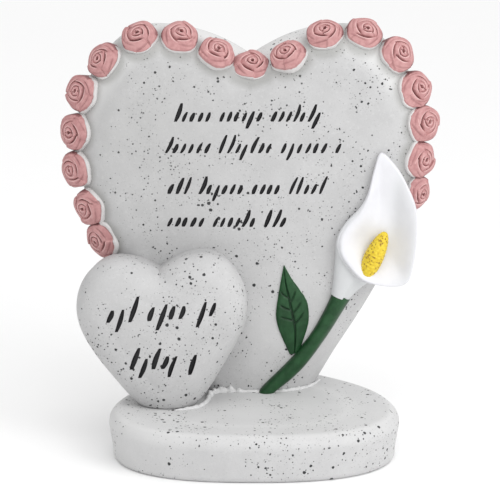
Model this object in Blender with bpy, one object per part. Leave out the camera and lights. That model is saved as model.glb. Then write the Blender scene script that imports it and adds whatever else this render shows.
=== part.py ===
"""Memorial ornament cast in resin: a rose-bordered heart with a small heart, a calla lily and a flower pot
behind it, standing on an oval base. Metres, +Z up. The front faces -Y and the ground is Z = 0."""
import math

import bmesh
import bpy
from mathutils import Matrix, Vector
from mathutils.geometry import interpolate_bezier

# Gap left between the two castings where the hearts stand on the base
SEAT_GAP = 0.0003
# How far a raised form reaches into what carries it
ROOT = 0.004

# Oval base
BASE_HALF_WIDTH = 0.064
BASE_FRONT = 0.047
BASE_REAR = 0.063
BASE_HEIGHT = 0.021
BASE_TOP_ROUND = 0.006
BASE_FOOT_ROUND = 0.0015
BASE_LEAN = 0.002
BASE_FRONT_FULLNESS = 2.5
BASE_REAR_FULLNESS = 1.7
BASE_SIDES = 56

# Large heart: widths from its own middle, heights from the top of the base
MAIN_SHIFT = -0.0015
MAIN_SETBACK = 0.0215
MAIN_HALF_WIDTH = 0.077
MAIN_HEIGHT = 0.163
MAIN_NOTCH_HEIGHT = 0.1495
MAIN_LOBE_SPREAD = 0.041
MAIN_WIDEST_HEIGHT = 0.110
MAIN_WAIST_HALF_WIDTH = 0.0395
MAIN_WAIST_HEIGHT = 0.017
MAIN_TIP_DEPTH = 0.027
MAIN_THICKNESS = 0.0215
MAIN_SHOULDER_WIDTH = 0.017
MAIN_SHOULDER_DEPTH = 0.018
MAIN_BACK_ROUND = 0.002
MAIN_CROWN = 0.002
MAIN_SIDES = 76

# Small heart: the same measures from its own middle, which leans a little to the left. Its sides draw in
# by the taper on their way back to the large heart
SMALL_SHIFT = -0.0358
SMALL_LEAN = math.radians(4)
SMALL_HALF_WIDTH = 0.0375
SMALL_HEIGHT = 0.0672
SMALL_NOTCH_HEIGHT = 0.0605
SMALL_LOBE_SPREAD = 0.0185
SMALL_WIDEST_HEIGHT = 0.0445
SMALL_WAIST_HALF_WIDTH = 0.0235
SMALL_WAIST_HEIGHT = 0.0135
SMALL_TIP_DEPTH = 0.0055
SMALL_THICKNESS = 0.0300
SMALL_SHOULDER_WIDTH = 0.013
SMALL_SHOULDER_DEPTH = 0.012
SMALL_BACK_ROUND = 0.006
SMALL_CROWN = 0.0025
SMALL_TAPER = 0.0022
SMALL_SIDES = 50

# Share of its distance from the middle line that a heart's edge keeps where its two sides meet at the tip
TIP_SHARE = 0.15

# Rose border: how far along the half outline its last roses stand, as shares, and how the right steps close up
ROSE_RUN_LEFT = 0.566
ROSE_RUN_RIGHT = 0.478
ROSE_CLOSING_RIGHT = 0.028
# Radius of a rose as a share of the left step
ROSE_FULLNESS = 0.527
ROSE_HEIGHT = 0.0050
ROSE_INSET = 0.0030
ROSE_NOTCH_DIP = 0.0030
ROSE_NOTCH_REACH = 0.035
ROSE_TILT = math.radians(36)
ROSES_LEFT = 9
ROSES_RIGHT = 8
ROSE_SKIRT = 0.0068
ROSE_FLARE = 1.03
ROSE_SIDES = 12
LAST_ROSE_SCALE = 0.84

# Calla lily, with its places as shares of the large heart's half width and height
SPATHE_OUTLINE = (
    (0.741, 0.670), (0.822, 0.636), (0.893, 0.580), (0.946, 0.515), (0.951, 0.440), (0.934, 0.370),
    (0.900, 0.318), (0.830, 0.305), (0.728, 0.309), (0.628, 0.322), (0.560, 0.350), (0.500, 0.395),
    (0.497, 0.440), (0.545, 0.480), (0.620, 0.518), (0.668, 0.560), (0.702, 0.625),
)
SPATHE_HEART = (0.745, 0.420)
SPATHE_RISE_LOW = 0.0085
SPATHE_RISE_TIP = 0.0030
SPATHE_CUP = 0.0050
SPATHE_SIDES = 40
SPADIX_FOOT = (0.680, 0.325)
SPADIX_HEAD = (0.785, 0.462)
SPADIX_HALF_WIDTH = 0.0048
SPADIX_RISE = 0.0095
NECK_SPINE = ((0.600, 0.365), (0.560, 0.315), (0.531, 0.262))
NECK_HALF_WIDTHS = (0.0085, 0.0058, 0.0040)
NECK_RISE = 0.0050
STEM_SPINE = ((0.540, 0.272), (0.421, 0.180), (0.263, 0.088), (0.080, -0.020))
STEM_HALF_WIDTH_TOP = 0.0038
STEM_HALF_WIDTH_FOOT = 0.0025
STEM_RISE = 0.0042
LEAF_TIP = (0.201, 0.352)
LEAF_FOOT = (0.268, 0.100)
LEAF_HALF_WIDTH = 0.0076
LEAF_RISE = 0.0022
LEAF_VEIN_DEPTH = 0.0011

# Rows of cut strokes: half length and height of the row's middle, as shares of the heart they are cut in
MAIN_ROWS = ((0.430, 0.776), (0.495, 0.688), (0.448, 0.578), (0.355, 0.485))
MAIN_ROW_SHIFTS = (-0.010, 0.006, -0.032, -0.134)
SMALL_ROWS = ((0.600, 0.680), (0.395, 0.350))
SMALL_ROW_SHIFTS = (0.0, 0.0)
STROKE_STEP = 0.0047
STROKE_WIDTH = 0.0011
STROKE_DEPTH = 0.0006
STROKE_LEAN = math.radians(18)
MAIN_STROKE_HEIGHT = 0.0060
SMALL_STROKE_HEIGHT = 0.0085

# Flower pot cast on the back of the large heart
POT_HEIGHT = 0.086
POT_HALF_WIDTH_TOP = 0.034
POT_HALF_WIDTH_FOOT = 0.0255
POT_DEPTH_TOP = 0.027
POT_DEPTH_FOOT = 0.018
POT_WALL = 0.0035
POT_FLOOR = 0.006
POT_RIM_HEIGHT = 0.008
POT_RIM_LIP = 0.0015
POT_FULLNESS = 2.3
POT_SIDES = 28

# Colours of the castings and their paint, with roughness
FINISHES = {
    "cast_stone": ((0.62, 0.62, 0.62, 1.0), 0.62),
    "rose_paint": ((0.66, 0.31, 0.32, 1.0), 0.55),
    "lily_paint": ((0.86, 0.85, 0.86, 1.0), 0.45),
    "spadix_paint": ((0.86, 0.65, 0.02, 1.0), 0.55),
    "leaf_paint": ((0.022, 0.075, 0.035, 1.0), 0.40),
    "stroke_paint": ((0.012, 0.012, 0.012, 1.0), 0.50),
}


def clear_scene():
    """Remove every object of the open file."""
    for thing in list(bpy.data.objects):
        bpy.data.objects.remove(thing, do_unlink=True)


def finish(name):
    """The Principled material of one finish."""
    colour, roughness = FINISHES[name]
    material = bpy.data.materials.get(name) or bpy.data.materials.new(name)
    material.use_nodes = True
    shader = material.node_tree.nodes["Principled BSDF"]
    shader.inputs["Base Color"].default_value = colour
    shader.inputs["Roughness"].default_value = roughness
    shader.inputs["Metallic"].default_value = 0.0
    return material


def loft(name, rings, material, apex=None):
    """A closed solid through rings of equal count, capped flat or drawn to an apex at its last ring."""
    mesh_builder = bmesh.new()
    loops = [[mesh_builder.verts.new(point) for point in ring] for ring in rings]
    count = len(loops[0])
    for lower, upper in zip(loops, loops[1:]):
        for i in range(count):
            j = (i + 1) % count
            mesh_builder.faces.new((lower[i], lower[j], upper[j], upper[i]))
    mesh_builder.faces.new(loops[0][::-1])
    if apex is None:
        mesh_builder.faces.new(loops[-1])
    else:
        top = mesh_builder.verts.new(apex)
        for i in range(count):
            mesh_builder.faces.new((loops[-1][i], loops[-1][(i + 1) % count], top))
    bmesh.ops.recalc_face_normals(mesh_builder, faces=mesh_builder.faces)
    mesh = bpy.data.meshes.new(name)
    mesh_builder.to_mesh(mesh)
    mesh_builder.free()
    mesh.materials.append(finish(material))
    solid = bpy.data.objects.new(name, mesh)
    bpy.context.collection.objects.link(solid)
    return solid


def combine(body, tools, operation):
    """Join the tools to the body, or cut them from it, and remove them."""
    group = bpy.data.collections.new(operation)
    bpy.context.scene.collection.children.link(group)
    for tool in tools:
        group.objects.link(tool)
    step = body.modifiers.new(operation, "BOOLEAN")
    step.operation = operation
    step.solver = "EXACT"
    step.operand_type = "COLLECTION"
    step.collection = group
    step.material_mode = "TRANSFER"
    depsgraph = bpy.context.evaluated_depsgraph_get()
    mesh = bpy.data.meshes.new_from_object(body.evaluated_get(depsgraph))
    body.modifiers.remove(step)
    body.data = mesh
    for tool in tools:
        bpy.data.objects.remove(tool, do_unlink=True)
    bpy.data.collections.remove(group)


def power(value, exponent):
    """A signed power, for superellipses."""
    return math.copysign(abs(value) ** exponent, value)


def even_ring(points, count):
    """The closed line through the points, as evenly spaced points that start at its first one."""
    closed = list(points) + [points[0]]
    lengths = [(b - a).length for a, b in zip(closed, closed[1:])]
    step = sum(lengths) / count
    ring, travelled, leg = [], 0.0, 0
    for i in range(count):
        goal = i * step
        while travelled + lengths[leg] < goal:
            travelled += lengths[leg]
            leg += 1
        ring.append(closed[leg].lerp(closed[leg + 1], (goal - travelled) / lengths[leg]))
    return ring


def through(points, steps=6, closed=False):
    """A smooth line through the points, by Catmull-Rom curves."""
    last = len(points) - 1
    line = []
    for i in range(last + 1 if closed else last):
        a, b = Vector(points[i]), Vector(points[(i + 1) % len(points)])
        before = Vector(points[i - 1]) if i or closed else a
        after = Vector(points[(i + 2) % len(points)]) if i + 1 < last or closed else b
        curve = interpolate_bezier(a, a + (b - before) / 6, b - (after - a) / 6, b, steps)
        line += [Vector(p) for p in curve][:-1]
    return line if closed else line + [Vector(points[-1])]


def heart_half(half_width, height, notch, spread, widest, waist_half_width, waist, tip_depth):
    """The right half of a heart's outline, from its notch down to its tip, as (x, z) points."""
    # each stretch: where it starts, its two handles and where it ends
    bottom = Vector((0.0, -tip_depth))
    low = Vector((waist_half_width, waist))
    slope = Vector((0.55, 0.835)) * half_width * 0.40
    dip = Vector((0.0, notch))
    crest = Vector((spread, height))
    side = Vector((half_width, widest))
    drop = widest - waist
    stretches = (
        (dip, dip.lerp(crest, 0.28) + Vector((0, 0.3 * (height - notch))), crest - Vector((spread * 0.38, 0)),
         crest),
        (crest, crest + Vector(((half_width - spread) * 0.55, 0)), side + Vector((0, (height - widest) * 0.55)),
         side),
        (side, side - Vector((0, drop * 0.33)), low + slope, low),
        (low, low - slope * 0.6, bottom + Vector((waist_half_width * 0.45, 0)), bottom),
    )
    line = []
    for start, leave, arrive, end in stretches:
        line += [Vector(p) for p in interpolate_bezier(start, leave, arrive, end, 17)][:-1]
    return line + [bottom]


def heart_outline(half, count):
    """The whole outline, evenly spaced, from the notch round by the right lobe."""
    mirrored = [Vector((-p.x, p.y)) for p in half[-2:0:-1]]
    return even_ring(half + mirrored, count)


def outward(ring, i):
    """The direction out of a ring that runs clockwise as seen from the front."""
    along = (ring[(i + 1) % len(ring)] - ring[i - 1]).normalized()
    return Vector((-along.y, along.x))


def inset_ring(ring, distance):
    """The ring moved inward by a distance. Near the narrow tip its two sides stop short of the middle line."""
    moved = []
    for i, p in enumerate(ring):
        q = p - outward(ring, i) * distance
        if q.x * p.x < TIP_SHARE * p.x ** 2:
            q.x = TIP_SHARE * p.x
        moved.append(q)
    return moved


class HeartForm:
    """A crowned heart with rounded shoulders. Its face plane is y = 0 and its back is y = thickness.

    Its sides are smaller by the taper where they meet the rounding of the back."""

    def __init__(self, half, sides, thickness, shoulder_width, shoulder_depth, back_round, crown, taper=0.0):
        self.outline = heart_outline(half, sides)
        self.half = half
        self.thickness = thickness
        self.shoulder_width = shoulder_width
        self.shoulder_depth = shoulder_depth
        self.back_round = back_round
        self.crown = crown
        self.taper = taper
        self.face = inset_ring(self.outline, shoulder_width)
        lowest = min(p.y for p in self.face)
        highest = max(p.y for p in self.face)
        self.middle = Vector((0.0, (lowest + highest) / 2))

    def rings(self):
        """Rings of points from the back edge, over the shoulder, to the crowned face."""
        back_ring = inset_ring(self.outline, self.back_round + self.taper)
        back = [Vector((p.x, self.thickness, p.y)) for p in back_ring]
        side_y = self.thickness - self.back_round
        rings = [back, [Vector((p.x, side_y, p.y)) for p in inset_ring(self.outline, self.taper)]]
        for degrees in (0, 28, 52, 72, 90):
            turn = math.radians(degrees)
            inset = self.shoulder_width * (1 - math.cos(turn))
            y = self.shoulder_depth * (1 - math.sin(turn))
            if degrees or side_y - y > self.shoulder_depth * 0.05:
                rings.append([Vector((p.x, y, p.y)) for p in inset_ring(self.outline, inset)])
        for share in (0.72, 0.4):
            y = -self.crown * (1 - share ** 2)
            rings.append([self.at(self.middle.lerp(p, share), y) for p in self.face])
        return rings

    @staticmethod
    def at(flat, y):
        """A point of the front view at a depth."""
        return Vector((flat.x, y, flat.y))

    def solid(self, name, material):
        """The heart as a closed solid."""
        return loft(name, self.rings(), material, apex=self.at(self.middle, -self.crown))

    def depth(self, flat):
        """The y of the front surface at a point of the front view."""
        ray = flat - self.middle
        if ray.length < 1e-6:
            return -self.crown
        reach = self.reach(ray, self.face)
        share = ray.length / reach
        if share <= 1:
            return -self.crown * (1 - share ** 2)
        beyond = (ray.length - reach) / (self.reach(ray, self.outline) - reach)
        return self.shoulder_depth * (1 - math.sqrt(max(0.0, 1 - min(1.0, beyond) ** 2)))

    def reach(self, ray, ring):
        """How far a ring is from the middle in a direction."""
        heading = ray.normalized()
        best = 0.0
        for i, b in enumerate(ring):
            a, c = ring[i - 1] - self.middle, b - self.middle
            edge = c - a
            cross = heading.x * edge.y - heading.y * edge.x
            if abs(cross) < 1e-12:
                continue
            along = (a.x * edge.y - a.y * edge.x) / cross
            share = (a.x * heading.y - a.y * heading.x) / cross
            if along > best and 0 <= share <= 1:
                best = along
        return best


def rose(name, centre, normal, along, radius, spin):
    """One rose: a bud and two turns of petals whose lips step down to a skirt set into the heart. Its skirt
    reaches its neighbours' skirts along the border."""
    frame = Matrix((along, normal.cross(along), normal)).transposed()
    # radius and height of each ring as shares, with the number of petals whose lips make it step
    turns = (
        (0.98, 0.34, 5, 0.07), (0.70, 0.42, 5, 0.09), (0.66, 0.84, 3, 0.12),
        (0.42, 0.66, 3, 0.12), (0.36, 1.00, 1, 0.22), (0.17, 0.72, 1, 0.20),
    )
    angles = [2 * math.pi * i / ROSE_SIDES for i in range(ROSE_SIDES)]
    flare = ROSE_FLARE * radius
    skirt = [Vector((flare * math.cos(turn), flare * math.sin(turn), -ROSE_SKIRT)) for turn in angles]
    rings = [[centre + frame @ point for point in skirt]]
    for share, height, petals, swing in turns:
        ring = []
        for turn in angles:
            wave = (((turn + spin) * petals / (2 * math.pi)) % 1.0 - 0.4) * swing
            r = radius * (share + wave)
            h = ROSE_HEIGHT * (height + 0.5 * wave)
            ring.append(centre + frame @ Vector((r * math.cos(turn), r * math.sin(turn), h)))
        rings.append(ring)
    return loft(name, rings, "rose_paint", apex=centre + normal * ROSE_HEIGHT * 0.9)


def rose_border(form):
    """The roses, in steps along the outline, either way from the one in the notch."""
    outline = inset_ring(heart_outline(form.half, 4 * MAIN_SIDES), ROSE_INSET)
    half = outline[:2 * MAIN_SIDES + 1]
    length = sum((b - a).length for a, b in zip(half, half[1:]))
    left_step = length * ROSE_RUN_LEFT / ROSES_LEFT
    right_step = length * ROSE_RUN_RIGHT / (ROSES_RIGHT * (1 - (ROSES_RIGHT - 1) * ROSE_CLOSING_RIGHT / 2))
    places = [0.0]
    places += [k * right_step * (1 - (k - 1) * ROSE_CLOSING_RIGHT / 2) for k in range(1, ROSES_RIGHT + 1)]
    places += [-k * left_step for k in range(1, ROSES_LEFT + 1)]
    roses = []
    for k, place in enumerate(places):
        flat, away = walk(half, abs(place))
        if place < 0:
            flat, away = Vector((-flat.x, flat.y)), Vector((-away.x, away.y))
        if not place:
            flat, away = half[0], Vector((0.0, 1.0))
        dip = ROSE_NOTCH_DIP * math.sin(math.pi * min(1.0, abs(place) / ROSE_NOTCH_REACH))
        turn = math.acos(1 - min(1.0, (ROSE_INSET + dip) / form.shoulder_width))
        foot = HeartForm.at(flat - away * dip, form.shoulder_depth * (1 - math.sin(turn)))
        normal = Vector((away.x * math.sin(ROSE_TILT), -math.cos(ROSE_TILT), away.y * math.sin(ROSE_TILT)))
        along = Vector((-away.y, 0.0, away.x))
        radius = left_step * ROSE_FULLNESS * (LAST_ROSE_SCALE if k == ROSES_RIGHT else 1.0)
        roses.append(rose(f"rose_{k + 1}", foot, normal, along, radius, 2.4 * k))
    return roses


def walk(ring, distance):
    """The point at a distance along a ring from its start, and the direction out of it there."""
    for i, b in enumerate(ring[1:], 1):
        length = (b - ring[i - 1]).length
        if distance <= length:
            return ring[i - 1].lerp(b, distance / length), outward(ring, i)
        distance -= length
    return ring[-1], outward(ring, len(ring) - 1)


def on_main(share):
    """A place on the large heart from its shares of half width and height."""
    return Vector((share[0] * MAIN_HALF_WIDTH, share[1] * MAIN_HEIGHT))


def ridge(name, form, spine, half_widths, rise, material, crease=0.0):
    """A raised strip along a spine on the heart, round across, or creased along its middle."""
    rings = []
    last = len(spine) - 1
    for i, point in enumerate(spine):
        along = (spine[min(i + 1, last)] - spine[max(i - 1, 0)]).normalized()
        side = Vector((along.y, -along.x))
        half_width = half_widths(i / last)
        face = form.depth(point)
        section = [(-0.92, ROOT), (-1.0, -0.25 * rise), (-0.62, -0.86 * rise), (0.0, -rise + crease),
                   (0.62, -0.86 * rise), (1.0, -0.25 * rise), (0.92, ROOT)]
        rings.append([HeartForm.at(point + side * half_width * across, face + y) for across, y in section])
    return loft(name, rings, material)


def stem(form):
    """The stem, from under the flower down to the base."""
    spine = through([on_main(p) for p in STEM_SPINE], 4)
    taper = STEM_HALF_WIDTH_FOOT - STEM_HALF_WIDTH_TOP
    return ridge("stem", form, spine, lambda t: STEM_HALF_WIDTH_TOP + taper * t, STEM_RISE, "leaf_paint")


def leaf(form):
    """The single leaf, pointed at its tip and narrow where it leaves the stem."""
    tip, foot = on_main(LEAF_TIP), on_main(LEAF_FOOT)
    spine = [tip.lerp(foot, i / 9) for i in range(10)]

    def half_width(t):
        return LEAF_HALF_WIDTH * max(0.06, math.sin(math.pi * t ** 0.85) ** 0.8 + 0.22 * t ** 3)

    return ridge("leaf", form, spine, half_width, LEAF_RISE, "leaf_paint", LEAF_VEIN_DEPTH)


def neck(form):
    """The funnel below the flower that narrows into the stem."""
    spine = through([on_main(p) for p in NECK_SPINE], 3)
    last = len(NECK_HALF_WIDTHS) - 1

    def half_width(t):
        i = min(int(t * last), last - 1)
        return NECK_HALF_WIDTHS[i] + (NECK_HALF_WIDTHS[i + 1] - NECK_HALF_WIDTHS[i]) * (t * last - i)

    return ridge("neck", form, spine, half_width, NECK_RISE, "lily_paint")


def spathe(form):
    """The flower: a thick curled sheet whose rim stands proud and whose inside is cupped."""
    outline = even_ring(through([on_main(p) for p in SPATHE_OUTLINE], 6, closed=True), SPATHE_SIDES)
    heart = on_main(SPATHE_HEART)
    low = min(p.y for p in outline)
    tall = max(p.y for p in outline) - low
    rise = [SPATHE_RISE_TIP + (SPATHE_RISE_LOW - SPATHE_RISE_TIP) * (1 - (p.y - low) / tall) for p in outline]
    rings = []
    # scale of each ring about the flower's heart, and how far it lies behind the rim, in cups
    for scale, behind in ((0.90, None), (1.0, 0.35), (0.985, 0.0), (0.93, 0.06), (0.74, 0.5), (0.42, 0.85)):
        ring = []
        for p, up in zip(outline, rise):
            flat = heart.lerp(p, scale)
            y = ROOT if behind is None else behind * SPATHE_CUP * min(1.0, up / SPATHE_CUP) - up
            ring.append(HeartForm.at(flat, y))
        rings.append(ring)
    bottom = sum(rise) / len(rise) - SPATHE_CUP * 0.9
    return loft("spathe", rings, "lily_paint", apex=HeartForm.at(heart, -bottom))


def spadix():
    """The yellow spike in the flower."""
    foot, head = on_main(SPADIX_FOOT), on_main(SPADIX_HEAD)
    along = (head - foot).normalized()
    side = Vector((along.y, -along.x))
    rings = []
    for i in range(7):
        t = 0.02 + 0.96 * i / 6
        girth = SPADIX_HALF_WIDTH * math.sqrt(1 - (2 * t - 1) ** 2) * (1.12 - 0.24 * t)
        middle = foot.lerp(head, t)
        ring = []
        for j in range(10):
            turn = 2 * math.pi * j / 10
            flat = middle + side * girth * math.cos(turn)
            ring.append(HeartForm.at(flat, SPADIX_HALF_WIDTH - SPADIX_RISE - girth * math.sin(turn)))
        rings.append(ring)
    return loft("spadix", rings, "spadix_paint")


def stroke(name, form, flat, height, lean):
    """A slanted bar that cuts one shallow stroke in the face."""
    up = Vector((math.sin(STROKE_LEAN - lean), math.cos(STROKE_LEAN - lean))) * height / 2
    side = Vector((up.y, -up.x)).normalized() * STROKE_WIDTH / 2
    face = form.depth(flat)
    corners = [flat - up - side, flat - up + side, flat + up + side, flat + up - side]
    rings = [[HeartForm.at(p, face + y) for p in corners] for y in (STROKE_DEPTH, -3 * STROKE_DEPTH)]
    return loft(name, rings, "stroke_paint")


def stroke_rows(form, rows, shifts, half_width, height, size, lean=0.0):
    """Rows of strokes of two heights, which stand where the ornament has its words."""
    bars = []
    for (share, level), shift in zip(rows, shifts):
        count = int(2 * share * half_width / STROKE_STEP)
        for i in range(count + 1):
            if i % 6 == 5:
                continue
            flat = Vector((shift * half_width + (i - count / 2) * STROKE_STEP, level * height))
            tall = size * (1.0 if i % 3 else 1.35)
            flat.y += (tall - size) / 2
            flat = Matrix.Rotation(lean, 2) @ flat
            bars.append(stroke("stroke", form, flat, tall, lean))
    return bars


def oval_ring(half_width, front, rear, front_fullness, rear_fullness, z, sides):
    """A level ring that is a superellipse, with its own depth and fullness before and behind."""
    ring = []
    for i in range(sides):
        turn = 2 * math.pi * (i + 0.5) / sides
        depth, fullness = (rear, rear_fullness) if math.sin(turn) > 0 else (front, front_fullness)
        x = half_width * power(math.cos(turn), 2 / fullness)
        ring.append(Vector((x, depth * power(math.sin(turn), 2 / fullness), z)))
    return ring


def oval_base():
    """The plinth: its side leans in toward the ground and its top edge is rounded."""
    levels = [(0.0, BASE_LEAN + BASE_FOOT_ROUND), (BASE_FOOT_ROUND, BASE_LEAN)]
    levels.append((BASE_HEIGHT - BASE_TOP_ROUND, 0.0))
    for degrees in (22, 45, 68, 90):
        turn = math.radians(degrees)
        z = BASE_HEIGHT - BASE_TOP_ROUND * (1 - math.sin(turn))
        levels.append((z, BASE_TOP_ROUND * (1 - math.cos(turn))))
    rings = []
    for z, inset in levels:
        rings.append(oval_ring(BASE_HALF_WIDTH - inset, BASE_FRONT - inset, BASE_REAR - inset,
                               BASE_FRONT_FULLNESS, BASE_REAR_FULLNESS, z, BASE_SIDES))
    return loft("oval_base", rings, "cast_stone")


def pot_ring(half_width, near, far, z):
    """A level ring of the pot, nearly straight toward the heart and round away from it."""
    middle = near + (far - near) * 0.35
    ring = oval_ring(half_width, middle - near, far - middle, 2 * POT_FULLNESS, POT_FULLNESS, z, POT_SIDES)
    return [p + Vector((0.0, middle, 0.0)) for p in ring]


def pot_width(z):
    """Half width of the pot's outside at a height."""
    return POT_HALF_WIDTH_FOOT + (POT_HALF_WIDTH_TOP - POT_HALF_WIDTH_FOOT) * z / POT_HEIGHT


def pot_depth(z):
    """How far the pot's outside reaches behind the heart at a height."""
    return POT_DEPTH_FOOT + (POT_DEPTH_TOP - POT_DEPTH_FOOT) * z / POT_HEIGHT


def pot():
    """The outside of the pot, set into the heart's back, with a plain rim."""
    rings = []
    rim = POT_HEIGHT - POT_RIM_HEIGHT
    for z, lip in ((-ROOT, 0.0), (rim, 0.0), (rim + POT_RIM_LIP, POT_RIM_LIP), (POT_HEIGHT, POT_RIM_LIP)):
        near = MAIN_THICKNESS - ROOT
        rings.append(pot_ring(pot_width(z) + lip, near, MAIN_THICKNESS + pot_depth(z) + lip, z))
    return loft("pot", rings, "cast_stone")


def pot_inside():
    """The cutter for the pot's inside, a wall's thickness inside it, from the floor up past the rim."""
    rings = []
    for z in (POT_FLOOR, POT_HEIGHT + ROOT):
        near = MAIN_THICKNESS + POT_WALL / 2
        rings.append(pot_ring(pot_width(z) - POT_WALL, near, MAIN_THICKNESS + pot_depth(z) - POT_WALL, z))
    return loft("pot_inside", rings, "cast_stone")


def foot_block():
    """The cutter that trims the casting level where it stands on the base."""
    reach = 2 * (MAIN_HALF_WIDTH + SMALL_HALF_WIDTH)
    corners = [(-reach, -reach), (reach, -reach), (reach, reach), (-reach, reach)]
    depth = 2 * (MAIN_TIP_DEPTH + SMALL_TIP_DEPTH) + ROOT
    rings = [[Vector((x, y, z)) for x, y in corners] for z in (-depth, 0.0)]
    return loft("foot_block", rings, "cast_stone")


def memorial_heart():
    """The whole upper casting, modelled with its face plane at y = 0 and its foot at z = 0."""
    main = HeartForm(
        heart_half(MAIN_HALF_WIDTH, MAIN_HEIGHT, MAIN_NOTCH_HEIGHT, MAIN_LOBE_SPREAD, MAIN_WIDEST_HEIGHT,
                   MAIN_WAIST_HALF_WIDTH, MAIN_WAIST_HEIGHT, MAIN_TIP_DEPTH),
        MAIN_SIDES, MAIN_THICKNESS, MAIN_SHOULDER_WIDTH, MAIN_SHOULDER_DEPTH, MAIN_BACK_ROUND, MAIN_CROWN)
    small = HeartForm(
        heart_half(SMALL_HALF_WIDTH, SMALL_HEIGHT, SMALL_NOTCH_HEIGHT, SMALL_LOBE_SPREAD, SMALL_WIDEST_HEIGHT,
                   SMALL_WAIST_HALF_WIDTH, SMALL_WAIST_HEIGHT, SMALL_TIP_DEPTH),
        SMALL_SIDES, SMALL_THICKNESS + ROOT, SMALL_SHOULDER_WIDTH, SMALL_SHOULDER_DEPTH, SMALL_BACK_ROUND,
        SMALL_CROWN, SMALL_TAPER)
    place = Matrix.Translation((SMALL_SHIFT, -SMALL_THICKNESS, 0.0)) @ Matrix.Rotation(-SMALL_LEAN, 4, "Y")
    small_body = small.solid("small_heart", "cast_stone")
    small_body.data.transform(place)
    body = main.solid("memorial_heart", "cast_stone")
    raised = [small_body, pot(), stem(main), leaf(main), neck(main), spathe(main), spadix()]
    combine(body, raised + rose_border(main), "UNION")
    small_strokes = stroke_rows(small, SMALL_ROWS, SMALL_ROW_SHIFTS, SMALL_HALF_WIDTH, SMALL_HEIGHT,
                                SMALL_STROKE_HEIGHT)
    for bar in small_strokes:
        bar.data.transform(place)
    main_strokes = stroke_rows(main, MAIN_ROWS, MAIN_ROW_SHIFTS, MAIN_HALF_WIDTH, MAIN_HEIGHT,
                               MAIN_STROKE_HEIGHT)
    combine(body, [foot_block(), pot_inside()] + main_strokes + small_strokes, "DIFFERENCE")
    return body


def shade(solid, degrees):
    """Smooth shading with the real edges kept sharp."""
    solid.data.shade_smooth()
    solid.data.set_sharp_from_angle(angle=math.radians(degrees))


def main():
    """Build the two castings under one empty that stands at the middle of the underside."""
    clear_scene()
    ornament = bpy.data.objects.new("ornament", None)
    bpy.context.collection.objects.link(ornament)
    base = oval_base()
    heart = memorial_heart()
    heart.location = (MAIN_SHIFT, MAIN_SETBACK, BASE_HEIGHT + SEAT_GAP)
    for solid in (base, heart):
        solid.parent = ornament
        shade(solid, 32)


main()
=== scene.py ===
"""Looks of the memorial heart ornament: the castings with all their relief, their speckled stone-effect
resin, the hand paint, the soft daylight and the camera. Metres, +Z up, the front faces -Y."""
import math

import bmesh
import bpy
import numpy as np
from mathutils import Matrix, Vector
from mathutils.geometry import interpolate_bezier


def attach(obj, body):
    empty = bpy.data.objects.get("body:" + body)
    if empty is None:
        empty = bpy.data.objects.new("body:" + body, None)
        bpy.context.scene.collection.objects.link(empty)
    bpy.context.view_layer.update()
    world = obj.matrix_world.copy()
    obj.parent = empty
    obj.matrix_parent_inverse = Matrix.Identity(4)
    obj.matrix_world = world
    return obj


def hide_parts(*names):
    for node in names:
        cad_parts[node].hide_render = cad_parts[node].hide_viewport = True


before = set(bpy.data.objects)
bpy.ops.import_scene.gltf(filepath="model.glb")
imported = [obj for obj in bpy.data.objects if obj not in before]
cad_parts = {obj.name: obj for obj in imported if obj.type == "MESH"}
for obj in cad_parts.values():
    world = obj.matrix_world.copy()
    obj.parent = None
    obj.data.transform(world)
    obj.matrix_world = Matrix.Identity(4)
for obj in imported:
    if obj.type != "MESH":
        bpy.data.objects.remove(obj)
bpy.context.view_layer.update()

# Sizes of the solids, repeated here because each piece lies where its solid is
SEAT_GAP, ROOT = 0.0003, 0.004
BASE_HALF_WIDTH, BASE_FRONT, BASE_REAR, BASE_HEIGHT = 0.064, 0.047, 0.063, 0.021
BASE_TOP_ROUND, BASE_FOOT_ROUND, BASE_LEAN = 0.006, 0.0015, 0.002
BASE_FRONT_FULLNESS, BASE_REAR_FULLNESS = 2.5, 1.7
MAIN_SHIFT, MAIN_SETBACK = -0.0015, 0.0215
MAIN_HALF_WIDTH, MAIN_HEIGHT, MAIN_THICKNESS = 0.077, 0.163, 0.0215
SMALL_SHIFT, SMALL_LEAN = -0.0358, math.radians(4)
SMALL_HALF_WIDTH, SMALL_HEIGHT, SMALL_THICKNESS = 0.0375, 0.0672, 0.03
TIP_SHARE = 0.15
ROSE_RUN_LEFT, ROSE_RUN_RIGHT, ROSE_CLOSING_RIGHT = 0.566, 0.478, 0.028
ROSE_FULLNESS, ROSE_HEIGHT, ROSE_INSET = 0.527, 0.005, 0.003
ROSE_NOTCH_DIP, ROSE_NOTCH_REACH = 0.003, 0.035
ROSE_TILT = math.radians(36)
ROSES_LEFT, ROSES_RIGHT = 9, 8
ROSE_SKIRT = 0.0068
LAST_ROSE_SCALE = 0.95
# A rose's petals stand on a wider, unpainted foot
ROSE_PETALS_SHARE = 0.89
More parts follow.
